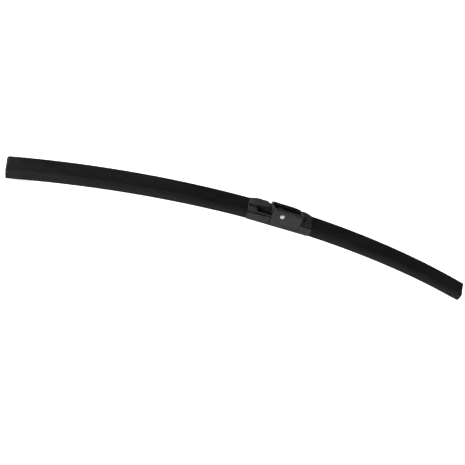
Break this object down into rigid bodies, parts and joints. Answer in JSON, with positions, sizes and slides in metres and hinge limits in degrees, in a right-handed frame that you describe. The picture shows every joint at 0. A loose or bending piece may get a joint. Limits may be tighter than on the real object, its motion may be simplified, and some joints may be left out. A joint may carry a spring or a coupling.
{
  "type": "wiper blade",
  "caption": "Bowed flat wiper blade with a wind spoiler, end caps and a mid connector whose cheeks carry a pin and a hook adapter.",
  "frame": {"origin": "on the spine of the bowed spring strips, straight under the middle of the pivot pin", "axes": "+X along the blade from the long half to the short half, +Y from the windward to the lee side, +Z away from the glass"},
  "size_m": [0.5501, 0.0198, 0.057],
  "materials": {
    "connector_plastic": "moulded, fine texture",
    "rivet_steel": "bright formed rivet",
    "adapter_plastic": "moulded, dark",
    "spoiler_rubber": "extruded, soft sheen",
    "cap_plastic": "moulded, fine texture",
    "strip_steel": "rolled spring steel",
    "wiping_rubber": "matt graphite coated lip"
  },
  "bodies": {
    "blade": {"connector_base": "connector_plastic", "pivot_pin": "rivet_steel", "spoiler_left": "spoiler_rubber", "spoiler_right": "spoiler_rubber", "end_cap_left": "cap_plastic", "end_cap_right": "cap_plastic", "spring_strip_front": "strip_steel", "spring_strip_rear": "strip_steel", "wiper_rubber": "wiping_rubber"},
    "adapter": {"hook_adapter": "adapter_plastic"}
  },
  "joints": [
    {"name": "adapter_pivot", "type": "hinge", "parent": "blade", "child": "adapter", "pos_m": [0, 0, 0.009], "axis": [0, 1, 0], "range_deg": [-12, 12]}
  ]
}
